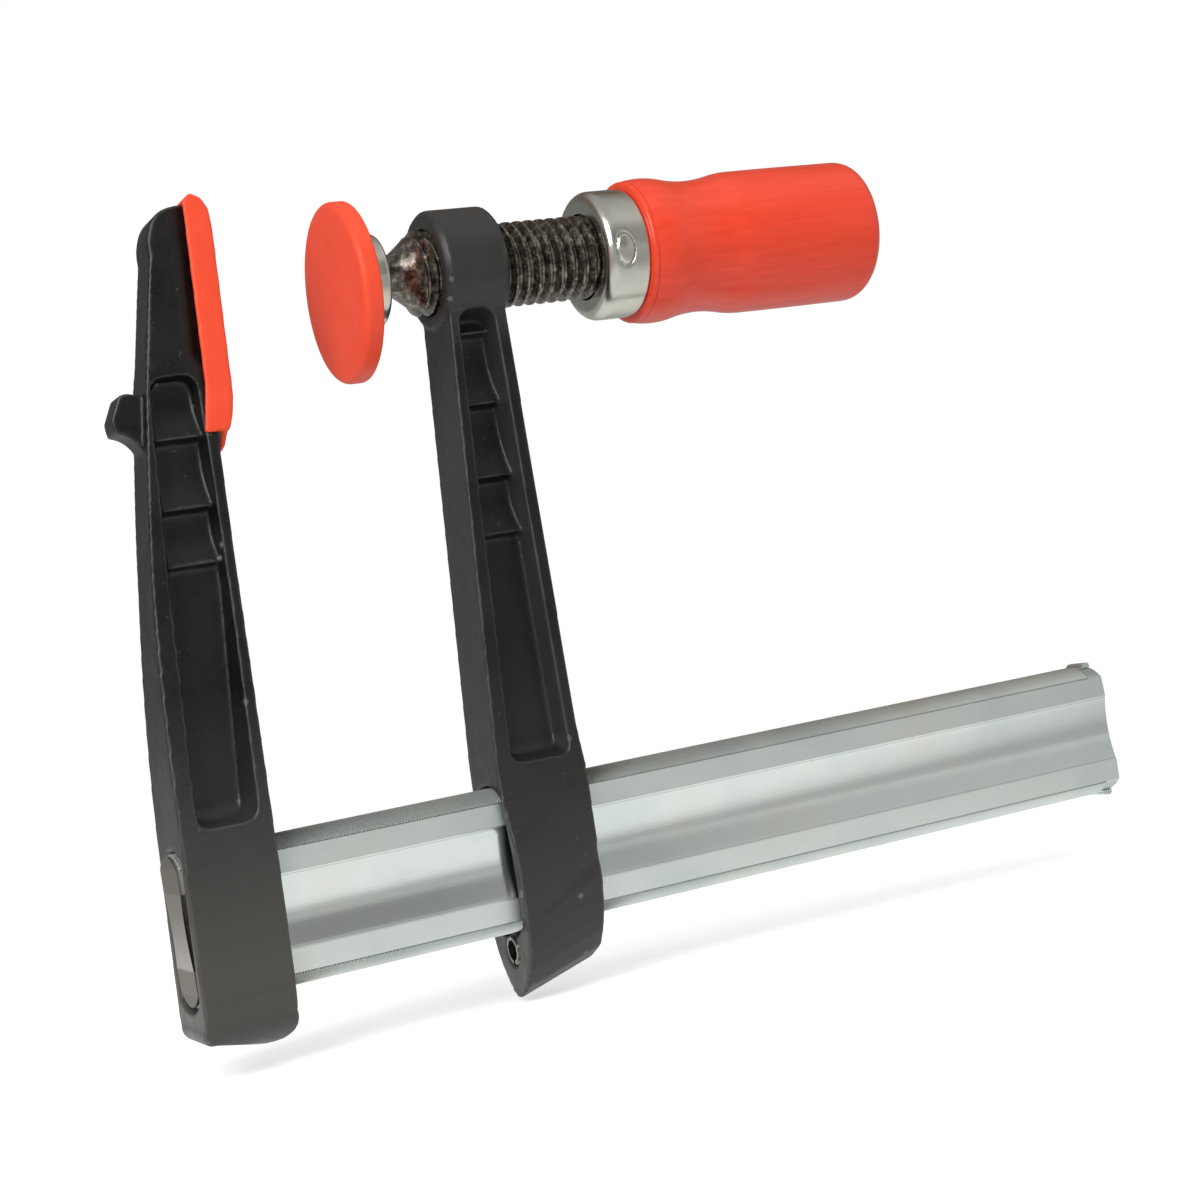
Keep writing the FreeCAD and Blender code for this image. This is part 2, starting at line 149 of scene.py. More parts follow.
def quarter(x, r, radius, start, count=6):
    """A quarter round in an outline: centre, radius and the angle that it starts from, falling."""
    points = []
    for i in range(count + 1):
        angle = math.radians(start - 90 * i / count)
        points.append((x + math.cos(angle) * radius, r + math.sin(angle) * radius))
    return points


def arc(x0, r0, x1, r1, bulge, count=6):
    """Points along a shallow arc between two outline points, bowed by bulge millimetres."""
    dx, dr = x1 - x0, r1 - r0
    length = math.hypot(dx, dr)
    points = []
    for i in range(1, count + 1):
        t = i / count
        out = 4 * bulge * t * (1 - t)
        points.append((x0 + dx * t - dr / length * out, r0 + dr * t + dx / length * out))
    return points


def join(piece, others):
    only(piece)
    for other in others:
        other.select_set(True)
    bpy.ops.object.join()


def merged_copy(node, name):
    """A joined-up copy of a node's loose triangles."""
    source = frame["nodes"][node]
    piece = source.copy()
    piece.data = source.data.copy()
    bpy.context.scene.collection.objects.link(piece)
    only(piece)
    bpy.ops.object.parent_clear(type="CLEAR_KEEP_TRANSFORM")
    bpy.ops.object.mode_set(mode="EDIT")
    bpy.ops.mesh.select_all(action="SELECT")
    bpy.ops.mesh.remove_doubles(threshold=0.002 * MM)
    bpy.ops.object.mode_set(mode="OBJECT")
    return settle(piece, name)


# %% [markdown]
# ## The camera
# The camera looks along the rail from the fixed jaw's side and is turned about its own axis, so
# the rail climbs to the right. The lens comes from how fast the rail narrows with distance.

# %% Camera
PHOTO_SIDE, FOCAL_LENGTH, SENSOR = 1200, 2201, 36
EYE = (-115.55, -394.69, -74.0)

camera_data = bpy.data.cameras.new("camera")
camera = bpy.data.objects.new("camera", camera_data)
bpy.context.scene.collection.objects.link(camera)
bpy.context.scene.camera = camera
camera_data.sensor_width = SENSOR
camera_data.lens = FOCAL_LENGTH / PHOTO_SIDE * SENSOR
camera_data.clip_start = 0.01
right = Vector((0.89441, -0.41101, -0.17638))
down = Vector((-0.15449, 0.08621, -0.98422))
ahead = Vector((0.41973, 0.90755, 0.01361))
turn = Matrix((right, -down, -ahead)).transposed().to_4x4()
camera.matrix_world = Matrix.Translation(Vector(EYE) * MM) @ turn
print("lens", round(camera_data.lens, 2))

# %% [markdown]
# ## Materials
# Each finish starts from the real material. One function adds a node, sets its values and links
# its inputs, and another turns a colour as written into the linear colour that nodes expect.

# %% Material helpers
WHITE = (1, 1, 1, 1)


def colour(hex_code):
    """The linear colour of a screen colour, which is written as #RRGGBB."""
    linear = []
    for i in (1, 3, 5):
        part = int(hex_code[i:i + 2], 16) / 255
        linear.append(part / 12.92 if part <= 0.04045 else ((part + 0.055) / 1.055) ** 2.4)
    return tuple(linear + [1])


def add(tree, kind, values=None, links=None, **settings):
    node = tree.nodes.new("ShaderNode" + kind)
    for key, value in settings.items():
        setattr(node, key, value)
    for key, value in (values or {}).items():
        node.inputs[key].default_value = value
    for key, source in (links or {}).items():
        tree.links.new(source, node.inputs[key])
    return node


def new_material(name):
    material = bpy.data.materials.new(name)
    material.use_nodes = True
    tree = material.node_tree
    surface = tree.nodes["Principled BSDF"]
    place = add(tree, "TexCoord").outputs["Object"]
    return material, tree, surface, place


def per_mm(size_mm):
    """Texture scale at which one pattern step is size_mm long."""
    return 1 / (size_mm * MM)


def dress(piece, material):
    piece.data.materials.clear()
    piece.data.materials.append(material)


def ramp(tree, source, stops):
    node = add(tree, "ValToRGB", links={"Fac": source})
    elements = node.color_ramp.elements
    while len(elements) < len(stops):
        elements.new(0.5)
    for element, (position, value) in zip(elements, stops):
        element.position = position
        element.color = value if isinstance(value, tuple) else (value, value, value, 1)
    return node.outputs["Color"]


# A Mix node has a set of sockets for each kind of value, and these are its colour ones.
MIX_AMOUNT, MIX_FIRST, MIX_SECOND, MIX_COLOUR = 0, 6, 7, 2


def blend(tree, amount, first, second):
    """Mix two colours, each given as a colour or as a socket, by a linked amount."""
    node = add(tree, "Mix", data_type="RGBA")
    tree.links.new(amount, node.inputs[MIX_AMOUNT])
    for number, value in ((MIX_FIRST, first), (MIX_SECOND, second)):
        if isinstance(value, tuple):
            node.inputs[number].default_value = value
        else:
            tree.links.new(value, node.inputs[number])
    return node.outputs[MIX_COLOUR]


def between(tree, value, start, end, low=0, high=1):
    """Low where the value is at start, high where it is at end, and even steps between them."""
    limits = {"From Min": start, "From Max": end, "To Min": low, "To Max": high}
    return add(tree, "MapRange", limits, {"Value": value}).outputs[0]


def combine(tree, operation, first, second):
    """One Math node on two linked values."""
    return add(tree, "Math", links={0: first, 1: second}, operation=operation).outputs[0]


def noise(tree, vector, size_mm, detail, **values):
    """Noise with patches of about size_mm, and any further value by its name."""
    settings = {"Scale": per_mm(size_mm), "Detail": detail}
    settings.update({key.capitalize(): value for key, value in values.items()})
    return add(tree, "TexNoise", settings, {"Vector": vector}).outputs["Fac"]


def bump(tree, height, strength, distance_mm, under=None):
    """Bump from a height, on top of another bump's normal where there is one."""
    links = {"Height": height}
    if under is not None:
        links["Normal"] = under
    values = {"Strength": strength, "Distance": distance_mm * MM}
    return add(tree, "Bump", values, links).outputs["Normal"]


def set_finish(tree, surface, colour_from, roughness_from, normal_from, **values):
    """Link what varies over a surface, and set what is the same all over it."""
    for name, source in (("Base Color", colour_from), ("Roughness", roughness_from),
                         ("Normal", normal_from)):
        if source is not None:
            tree.links.new(source, surface.inputs[name])
    for name, value in values.items():
        surface.inputs[name.replace("_", " ")].default_value = value


# %% [markdown]
# The castings are malleable iron under a satin black powder coat. The coat has the fine pebble
# of cast sand under it and a coarser waviness. Painted light greys it towards the feet, on the
# sliding arm's boss and on its inner face. Along the sharper edges it is worn light and carries
# a painted highlight.

# %% Black powder-coated casting
GREY_FROM_Z, GREY_TO_Z = -72, -122
BOSS_LOW_Z, BOSS_HIGH_Z = -17, -11
FIXED_TO_X, SLIDING_FROM_X = 20, 30

casting, tree, surface, place = new_material("powder_coated_malleable_iron")
pebble = noise(tree, place, 0.55, 3, roughness=0.6)
wave = noise(tree, place, 4.5, 2)
patch = noise(tree, place, 9, 6, roughness=0.7)
speck = noise(tree, place, 0.9, 2)
spot = add(tree, "SeparateXYZ", links={"Vector": place})
tone = ramp(tree, patch, [(0.35, colour("#080707")), (0.72, colour("#151414"))])

# Painted light: the coat is greyer towards the feet, where the key lamp falls, and greyest on the
# fixed arm.
low = between(tree, spot.outputs["Z"], GREY_FROM_Z * MM, GREY_TO_Z * MM)
painted_foot_light = add(tree, "Math", {1: 0.9}, {0: low}, operation="MULTIPLY").outputs[0]
left = between(tree, spot.outputs["X"], FIXED_TO_X * MM, -10 * MM)
painted_light_grey = blend(tree, left, colour("#30302E"), colour("#454440"))
foot_lit = blend(tree, painted_foot_light, tone, painted_light_grey)

dust = ramp(tree, speck, [(0.69, 0), (0.8, 0.45)])
dusty = blend(tree, dust, foot_lit, colour("#5A5A58"))

geometry = add(tree, "NewGeometry")
facing = add(tree, "SeparateXYZ", links={"Vector": geometry.outputs["Normal"]})
# Painted light: on the sliding arm, faces turned to the left and the boss are painted greyer.
painted_left_light = between(tree, facing.outputs["X"], -0.5, -0.9, high=0.55)
painted_boss_light = between(tree, spot.outputs["Z"], BOSS_LOW_Z * MM, BOSS_HIGH_Z * MM, high=0.5)
painted_light_mask = combine(tree, "MAXIMUM", painted_left_light, painted_boss_light)
slider = between(tree, spot.outputs["X"], FIXED_TO_X * MM, SLIDING_FROM_X * MM)
painted_slider_light = combine(tree, "MULTIPLY", painted_light_mask, slider)
slider_lit = blend(tree, painted_slider_light, dusty, colour("#3A3A39"))

# Sharp edges: real wear, with a painted highlight along them.
convex = ramp(tree, geometry.outputs["Pointiness"], [(0.52, 0), (0.575, 0.5)])
broken = ramp(tree, patch, [(0.4, 0.25), (0.6, 1)])
edge_wear_and_highlight = combine(tree, "MULTIPLY", convex, broken)
rubbed_and_highlit = blend(tree, edge_wear_and_highlight, slider_lit, colour("#7C7B78"))

gloss = ramp(tree, patch, [(0.3, 0.32), (0.75, 0.48)])
fine = bump(tree, pebble, 0.25, 0.12)
set_finish(tree, surface, rubbed_and_highlit, gloss, bump(tree, wave, 0.35, 0.5, fine),
           Specular_IOR_Level=0.42)

# %% [markdown]
# The rail is cold-drawn steel with a bright zinc plating. Drawing leaves fine lines along the
# bar, the flats are more frosted than the groove, and the plating has a faint green cast. A thin
# line of painted shade runs along each ledge of the groove, and the milled edges are striped
# tooth by tooth with painted shade. The end that is staked over in the fixed arm is browner.

# %% Zinc-plated rail
STAKE_INNER_X, STAKE_OUTER_X = -25.9, -26.4
TOOTH_PITCH = 0.55
SHADE_LINE_GREY = colour("#6F7472")

zinc, tree, surface, place = new_material("zinc_plated_drawn_steel")
stretch = add(tree, "Mapping", {"Scale": (0.03, 1, 1)}, {"Vector": place}).outputs["Vector"]
lines = noise(tree, stretch, 0.5, 4, roughness=0.7)
cloud = noise(tree, place, 16, 4)
grain = noise(tree, place, 0.35, 2)
spot = add(tree, "SeparateXYZ", links={"Vector": place})
tint = ramp(tree, cloud, [
    (0.35, colour("#DAE2E0")), (0.55, colour("#E2E8E4")), (0.78, colour("#E2E4D8"))])
staked = between(tree, spot.outputs["X"], STAKE_INNER_X * MM, STAKE_OUTER_X * MM)
skin = blend(tree, staked, tint, colour("#8F877D"))

offset = add(tree, "Math", {1: -RAIL_Z * MM}, {0: spot.outputs["Z"]}, operation="ADD")
away = add(tree, "Math", links={0: offset.outputs[0]}, operation="ABSOLUTE").outputs[0]
across = between(tree, away, 6 * MM, 7 * MM)
# Painted shade: a thin darker line just inside each ledge of the groove.
painted_ledge_shade = ramp(tree, across, [(0.5, 0), (0.6, 0.55), (0.7, 0)])
ledge_shaded = blend(tree, painted_ledge_shade, skin, SHADE_LINE_GREY)

# Painted shade: dark stripes across the milled edges, one per tooth pitch.
narrow = between(tree, away, 11.5 * MM, 11.8 * MM, high=0.5)
step = add(tree, "Math", {1: TOOTH_PITCH / 2 * MM}, {0: spot.outputs["X"]}, operation="PINGPONG")
painted_tooth_shade = between(tree, step.outputs[0], 0.15 * MM, 0.2 * MM)
tooth_shaded = blend(tree, combine(tree, "MULTIPLY", painted_tooth_shade, narrow), ledge_shaded, SHADE_LINE_GREY)

frosted = between(tree, away, 6.6 * MM, 7.2 * MM, low=0.15, high=0.5)
rough = add(tree, "Math", {1: 0.12, 2: -0.06}, {0: lines}, operation="MULTIPLY_ADD").outputs[0]
total = combine(tree, "ADD", frosted, rough)
drawn = bump(tree, lines, 0.12, 0.05)
set_finish(tree, surface, tooth_shaded, total, bump(tree, grain, 0.15, 0.04, drawn), Metallic=1)

# %% [markdown]
# The collar, the plate and the pins are turned or pressed steel with the same plating, but
# brighter and with lines that run round the screw's axis.

# %% Bright plated collar
plated, tree, surface, place = new_material("bright_zinc_plated_collar")
squeeze = add(tree, "Mapping", {"Scale": (1, 0.05, 0.05)}, {"Vector": place}).outputs["Vector"]
rings = noise(tree, squeeze, 0.4, 3)
cloud = noise(tree, place, 7, 4)
tint = ramp(tree, cloud, [
    (0.35, colour("#C2C3B8")), (0.6, colour("#D0CFC4")), (0.8, colour("#D2C6B2"))])
rough = between(tree, cloud, 0, 1, low=0.14, high=0.3)
set_finish(tree, surface, tint, rough, bump(tree, rings, 0.08, 0.04), Metallic=1)

# %% [markdown]
# The screw is blackened steel, wet with oil. Oil makes it almost black and very glossy, with
# brown where it has thickened, and the crests are rubbed back to metal.

# %% Oiled screw
oiled, tree, surface, place = new_material("blackened_oiled_steel")
film = noise(tree, place, 1.4, 5, roughness=0.7)
tint = ramp(tree, film, [
    (0.35, colour("#2C2824")), (0.5, colour("#59534A")), (0.66, colour("#A09889"))])
rough = between(tree, film, 0, 1, low=0.12, high=0.42)
set_finish(tree, surface, tint, rough, bump(tree, film, 0.3, 0.12), Metallic=0.85,
           Coat_Weight=0.5, Coat_Roughness=0.08)

# %% [markdown]
# The soft caps are moulded plastic, satin and slightly uneven. The handle is beech under a red
# lacquer, glossier than the caps, with the grain faintly telegraphing through along its length.

# %% Red plastic and red lacquer
red_cap, tree, surface, place = new_material("red_moulded_plastic")
cloud = noise(tree, place, 6, 4)
tint = ramp(tree, cloud, [(0.3, colour("#E2482B")), (0.7, colour("#E84E30"))])
fine = noise(tree, place, 0.3, 2)
set_finish(tree, surface, tint, None, bump(tree, fine, 0.1, 0.03), Roughness=0.42,
           Specular_IOR_Level=0.3, Subsurface_Weight=0.08, Subsurface_Scale=1.5 * MM)

lacquer, tree, surface, place = new_material("red_lacquered_beech")
stretch = add(tree, "Mapping", {"Scale": (0.08, 1, 1)}, {"Vector": place}).outputs["Vector"]
fibre = noise(tree, stretch, 1.1, 4)
tint = ramp(tree, fibre, [(0.3, colour("#D8391C")), (0.7, colour("#E24223"))])
set_finish(tree, surface, tint, None, bump(tree, fibre, 0.12, 0.06), Roughness=0.33,
           Specular_IOR_Level=0.35, Coat_Weight=0.25, Coat_Roughness=0.16)

# %% [markdown]
# ## The two castings and the jaw's cap
# Real castings have no sharp edges: sand rounds every corner, inside and out. The solids have
# the right form but crisp edges, so a copy is rebuilt as fine cubes of skin and relaxed, which
# rounds all edges at once, the deep ones in the pockets too. The moulded cap gets the same.

# %% Soft cast edges
CASTING_SKIN, CAP_SKIN = 0.38, 0.3


def recast(piece, skin, relax):
    remesh = piece.modifiers.new("skin", "REMESH")
    remesh.mode = "VOXEL"
    remesh.voxel_size = skin * MM
    relaxed = piece.modifiers.new("relax", "SMOOTH")
    relaxed.factor = 0.5
    relaxed.iterations = relax
    apply_modifiers(piece)
    only(piece)
    bpy.ops.object.shade_smooth()
    print(piece.name, len(piece.data.polygons), "faces after casting")


def stand_in_for(piece, node, body, material):
    """Give a finished piece the body, the node and the finish that it stands for."""
    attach(piece, body)
    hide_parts(node)
    dress(piece, material)


def trim(piece, point, outward_way):
    """Cut away what lies beyond a plane and close the cut."""
    only(piece)
    bpy.ops.object.mode_set(mode="EDIT")
    bpy.ops.mesh.select_all(action="SELECT")
    bpy.ops.mesh.bisect(plane_co=Vector(point) * MM, plane_no=outward_way,
                        use_fill=True, clear_outer=True)
    bpy.ops.object.mode_set(mode="OBJECT")


# %% [markdown]
# The fixed arm's foot is drawn up by a twentieth. Its head has a ridge down each side with lower
# metal before and behind it, and a small crown at the top of its back.

# %% Fixed arm and its cap
FOOT_TOP_Z, FOOT_DRAWN_UP = -128, 0.05
HEAD_LOW_Z, RIDGE_LOW_Y = -14.5, 3
CROWN_X, CROWN_Z, CROWN_LENGTH, CROWN_HEIGHT, CROWN_RISE = -9.3, 14.2, 3.2, 3.4, 0.55


def ridge_inset(x, y, z):
    """How far the head's side lies below its ridge, in millimetres."""
    beyond = x - (-8.2 - 0.06 * (3 - z))
    inset = 0.8 * min(beyond, 3) / 3 if beyond > 0 else 0.5 * min(-beyond, 6) / 6
    return inset * min(1, (z - HEAD_LOW_Z) / 3) * min(1, max(0, (abs(y) - RIDGE_LOW_Y) / 1.5))


fixed_casting = merged_copy("fixed_arm", "fixed_casting")
for vertex in fixed_casting.data.vertices:
    below = vertex.co.z / MM - FOOT_TOP_Z
    if below < 0:
        vertex.co.z -= below * FOOT_DRAWN_UP * MM
recast(fixed_casting, CASTING_SKIN, 6)
for vertex in fixed_casting.data.vertices:
    x, y, z = [c / MM for c in vertex.co]
    if z < HEAD_LOW_Z:
        continue
    vertex.co.y -= math.copysign(ridge_inset(x, y, z) * MM, y)
    along, up = (x - CROWN_X) / CROWN_LENGTH, (z - CROWN_Z) / CROWN_HEIGHT
    crown = CROWN_RISE * math.exp(-along ** 2 - up ** 2)
    vertex.co.x -= 0.6 * crown * MM
    vertex.co.z += 0.8 * crown * MM
stand_in_for(fixed_casting, "fixed_arm", "frame", casting)

jaw_cap = merged_copy("fixed_jaw_cap", "jaw_cap")
recast(jaw_cap, CAP_SKIN, 20)
stand_in_for(jaw_cap, "fixed_jaw_cap", "frame", red_cap)

# %% [markdown]
# The sliding arm's foot ends in a rounded keel that rises towards the back. The solid's keel is
# steeper, so it is cut to the keel's real lines and a shoe with those lines fills its back end.

# %% Foot of the sliding arm
KEEL = [(0, -140.6), (1.8, -140.1), (4.3, -138.4), (6.9, -135), (8.5, -132),
        (9.3, -129.3), (9.4, -127)]
KEEL_X, KEEL_END, KEEL_SLOPE = 35.7, 52.5, 0.29
PIN_BORE_R, PIN_BORE_LENGTH = 3, 20
PIN_BORE_MIDDLE = (35.2, 0, -131.3)


def keel_prism(start, end, above):
    """The keel's section run along its slope, with the points above it on each side."""
    half = above + [(y, z) for y, z in reversed(KEEL)]
    section = half + [(-y, z) for y, z in reversed(half[:-1])]
    drop = (KEEL_X - start) * KEEL_SLOPE
    run = end - start
    return prism([(start, y, z - drop) for y, z in section], (run, 0, run * KEEL_SLOPE))


def boolean(piece, tool, operation):
    cut = piece.modifiers.new("cut", "BOOLEAN")
    cut.operation = operation
    cut.object = tool
    apply_modifiers(piece)
    bpy.ops.object.select_all(action="DESELECT")
    tool.select_set(True)
    bpy.ops.object.delete()


sliding_casting = merged_copy("sliding_arm", "sliding_casting")
around_arm = keel_prism(28, 70, [(14, 60), (14, -112), (9.9, -125)])
boolean(sliding_casting, around_arm, "INTERSECT")
shoe = keel_prism(KEEL_X + 0.5, KEEL_END, [(9.4, -121)])
trim(shoe, (51.4, 0, -135.6), (0.8, 0, -0.45))

window = [(6.7, -100), (6.7, -126.3), (5, -127.5), (3, -128.45), (0, -128.9)]
window += [(-y, z) for y, z in reversed(window[:-1])]
opening = prism([(30, y, z) for y, z in window], (30, 0, 0))
boolean(shoe, opening, "DIFFERENCE")
bpy.ops.mesh.primitive_cylinder_add(
    vertices=48, radius=PIN_BORE_R * MM, depth=PIN_BORE_LENGTH * MM,
    location=Vector(PIN_BORE_MIDDLE) * MM, rotation=(0, math.radians(90), 0))
boolean(shoe, bpy.context.object, "DIFFERENCE")
join(sliding_casting, [shoe])
recast(sliding_casting, CASTING_SKIN, 6)
stand_in_for(sliding_casting, "sliding_arm", "slider", casting)

# %% [markdown]
# ## The rail
# A drawn bar with a shallow groove down each side. Its rounded narrow edges are milled across
# with fine teeth that the sliding arm bites on. One tooth is drawn and repeated by an array.

# %% Rail bar
RAIL_START, RAIL_END = -26.6, 178.6
HALF, SIDE, RISE = 14.0, 6.35, 2.6
TOOTH_DEPTH = 0.3
GROOVE_HALF, LEDGE_WIDTH, LEDGE_DEPTH, GROOVE_DEPTH = 6.8, 0.2, 0.16, 0.94
END_BEVEL = 0.45


def edge_arc(depth, count=10):
    """Points over the rail's upper rounded edge, from one side to the other."""
    radius = (SIDE ** 2 + RISE ** 2) / (2 * RISE)
    reach = math.asin(SIDE / radius)
    points = []
    for i in range(count + 1):
        angle = reach * (2 * i / count - 1)
        points.append((math.sin(angle) * (radius - depth),
                       HALF - radius + math.cos(angle) * (radius - depth)))
    return points


def groove(sign, count=10):
    """A shallow hollow down one side, with a small ledge along each of its edges."""
    ledge = sign * (GROOVE_HALF + LEDGE_WIDTH)
    points = [(sign * SIDE, ledge)]
    for i in range(count + 1):
        z = sign * GROOVE_HALF * (1 - 2 * i / count)
        sunk = LEDGE_DEPTH + GROOVE_DEPTH * (1 - (z / GROOVE_HALF) ** 2)
        points.append((sign * (SIDE - sunk), z))
    return points + [(sign * SIDE, -ledge)]


profile = edge_arc(TOOTH_DEPTH) + groove(1)
profile += [(-y, -z) for y, z in edge_arc(TOOTH_DEPTH)] + groove(-1)
rail_bar = prism([(RAIL_START, y, z + RAIL_Z) for y, z in profile], (RAIL_END - RAIL_START, 0, 0))
bpy.ops.object.mode_set(mode="EDIT")
bpy.ops.mesh.select_all(action="DESELECT")
bpy.ops.object.mode_set(mode="OBJECT")
for face in rail_bar.data.polygons:
    face.select = face.normal.x > 0.9
bpy.ops.object.mode_set(mode="EDIT")
bpy.ops.mesh.bevel(offset=END_BEVEL * MM, segments=3)
bpy.ops.object.mode_set(mode="OBJECT")
smooth(rail_bar, 25)


# %% Stop nubs
NUB_WIDTH = 5.6
NUB_SIDE = [(175.9, 13.4), (176.4, 14.1), (176.8, 14.45), (177.8, 14.5), (178.2, 14.2),
            (178.3, 13.4)]


def stop_nub(sign):
    """The swaged nub on a narrow edge that keeps the sliding arm on the rail."""
    outline = [(x, -NUB_WIDTH / 2, sign * z + RAIL_Z) for x, z in NUB_SIDE]
    return prism(outline, (0, NUB_WIDTH, 0))


nubs = [stop_nub(1), stop_nub(-1)]


# %% Milled edges
TOOTH_FIRST_X, TOOTHLESS_END, TOOTH_FLARE = RAIL_START + 0.6, 4, 1.05
TOOTH_ROOT = TOOTH_DEPTH + 0.05


def raise_tooth(flare, rise):
    """Extrude the tooth's line by half a pitch, then widen it and move it up, or back again."""
    step = (TOOTH_PITCH / 2 * MM, 0, 0)
    bpy.ops.mesh.extrude_region_move(TRANSFORM_OT_translate={"value": step})
    bpy.ops.transform.resize(value=(1, flare, 1), center_override=(0, 0, RAIL_Z * MM))
    bpy.ops.transform.translate(value=(0, 0, rise * MM))


def milled_edge(sign):
    outline = [(TOOTH_FIRST_X, y, sign * z + RAIL_Z) for y, z in edge_arc(TOOTH_ROOT, 12)]
    tooth = chain(outline)
    bpy.ops.object.mode_set(mode="EDIT")
    bpy.ops.mesh.select_all(action="SELECT")
    raise_tooth(TOOTH_FLARE, sign * TOOTH_ROOT)
    raise_tooth(1 / TOOTH_FLARE, -sign * TOOTH_ROOT)
    outward()
    bpy.ops.object.mode_set(mode="OBJECT")
    array = tooth.modifiers.new("row", "ARRAY")
    array.use_relative_offset = False
    array.use_constant_offset = True
    array.constant_offset_displace = (TOOTH_PITCH * MM, 0, 0)
    array.count = int((RAIL_END - RAIL_START - TOOTHLESS_END) / TOOTH_PITCH)
    apply_modifiers(tooth)
    return tooth


join(rail_bar, [milled_edge(1), milled_edge(-1)] + nubs)
settle(rail_bar, "rail_bar")
stand_in_for(rail_bar, "rail", "frame", zinc)

# %% [markdown]
# ## The screw
# One pitch of the thread is drawn as a line and swept in a helix by the Screw modifier. The
# crests of the first turns are cut back to a cone, as a lathe does before it cuts the thread.

# %% Thread
PITCH = 2.4
THREAD_R, ROOT_R = 8.3, 6.8
THREAD_FROM, THREAD_TO = 37.4, 80.3
STEPS_ROUND = 56
crest = [(0, ROOT_R), (0.35, ROOT_R + 0.15), (0.85, THREAD_R - 0.25), (1.05, THREAD_R),
         (1.45, THREAD_R), (1.65, THREAD_R - 0.25), (2.15, ROOT_R + 0.15), (PITCH, ROOT_R)]
screw = chain([(x + THREAD_FROM - PITCH, 0, r) for x, r in crest])
helix = screw.modifiers.new("helix", "SCREW")
helix.axis = "X"
helix.screw_offset = PITCH * MM
helix.iterations = int((THREAD_TO - THREAD_FROM) / PITCH) + 2
helix.steps = STEPS_ROUND
helix.render_steps = STEPS_ROUND
helix.use_merge_vertices = True
helix.merge_threshold = 0.003 * MM
apply_modifiers(screw)
bpy.ops.object.mode_set(mode="EDIT")
for x, side in ((THREAD_FROM, "clear_inner"), (THREAD_TO, "clear_outer")):
    bpy.ops.mesh.select_all(action="SELECT")
    bpy.ops.mesh.bisect(plane_co=(x * MM, 0, 0), plane_no=(1, 0, 0),
                        use_fill=True, **{side: True})
outward()
bpy.ops.object.mode_set(mode="OBJECT")


def cone_radius(x):
    """The radius that the first turns are cut back to."""
    return 4.2 + (x - 35.5) * 0.76 + max(0, x - 38.8) * 0.6


for vertex in screw.data.vertices:
    x = vertex.co.x / MM
    radius = math.hypot(vertex.co.y, vertex.co.z) / MM
    limit = cone_radius(x)
    if radius > limit:
        vertex.co.y *= limit / radius
        vertex.co.z *= limit / radius
smooth(screw, 40)

# %% Neck, head and tang
BALL_X, BALL_R, ON_AXIS = 32.6, 5.6, 0.01
head = [(BALL_X - BALL_R, ON_AXIS)]
for i in range(1, 9):
    angle = math.radians(63) * i / 8
    head.append((BALL_X - BALL_R * math.cos(angle), BALL_R * math.sin(angle)))
neck = [(30.2, 3.4), (32.6, 3.4), (33.6, 3.95), (35.5, 4.2), (37.6, 5.8), (37.6, ON_AXIS)]
neck_piece = lathe(head + neck, "neck")
smooth(neck_piece, 30)
tang = [(80.2, ON_AXIS), (80.2, 7.2), (80.3, 7.2), (80.3, 4.6), (120.6, 4.6), (121.4, 3.8),
        (121.4, ON_AXIS)]
tang_piece = lathe(tang, "tang", steps=32)
smooth(tang_piece, 30)
join(screw, [neck_piece, tang_piece])
settle(screw, "screw_thread")
stand_in_for(screw, "spindle", "screw", oiled)

# %% [markdown]
# ## Turned pieces
# The plate, its cap, the collar and the handle are turned or moulded round, with soft edges
# that the solids only have as bevels. Each is one outline spun about the screw's axis.

# %% Plate and its cap
PLATE_HANG, CAP_HANG = 0.65, 2.35
ROUND_STEPS = 128

cap = [(23.4, ON_AXIS), (23.4, 8)] + quarter(24.75, 15.89, 1.35, 180)
cap += [(26.4, 17.24)] + quarter(26.6, 16.64, 0.6, 90)
cap += [(27.2, 12.2), (26.6, 12.2), (26.6, 16.05), (24.8, 16.05), (24.8, ON_AXIS)]
round_cap = lathe(cap, "round_cap", steps=ROUND_STEPS, drop=CAP_HANG)
smooth(round_cap, 40)
stand_in_for(round_cap, "plate_cap", "plate", red_cap)

plate = [(24.8, ON_AXIS), (24.8, 14.35), (26.6, 14.35), (26.6, 10.6), (26.8, 9.8), (27.4, 9.2)]
plate += [(28.3, 9.0), (31.3, 9.0)] + quarter(31.5, 8.1, 0.9, 90)
plate += [(32.4, 5.3), (32.0, 5.3), (32.0, 6.9), (26.1, 6.9), (26.1, ON_AXIS)]
steel_plate = lathe(plate, "steel_plate", steps=ROUND_STEPS, drop=PLATE_HANG)
smooth(steel_plate, 40)
stand_in_for(steel_plate, "pressure_plate", "plate", plated)

# %% [markdown]
# The collar is pressed over the handle's end. Its cross pin is peened over into a long oval
# button on the near side, which is raised and outlined in the spun mesh point by point.

# %% Collar
FERRULE_R = 12.8
COLLAR_STEPS, ROW_STEP, ROWS = 420, 0.15, 41
PIN_X, PIN_ANGLE = 79.75, math.radians(-6.5)
BUTTON_X, BUTTON_HALF_WIDTH, BUTTON_HALF_LENGTH = PIN_X + 0.35, 2.05, 3.55
BUTTON_RISE, OUTLINE_DEPTH, OUTLINE_AT, OUTLINE_WIDTH = 0.3, 0.42, 0.93, 0.09

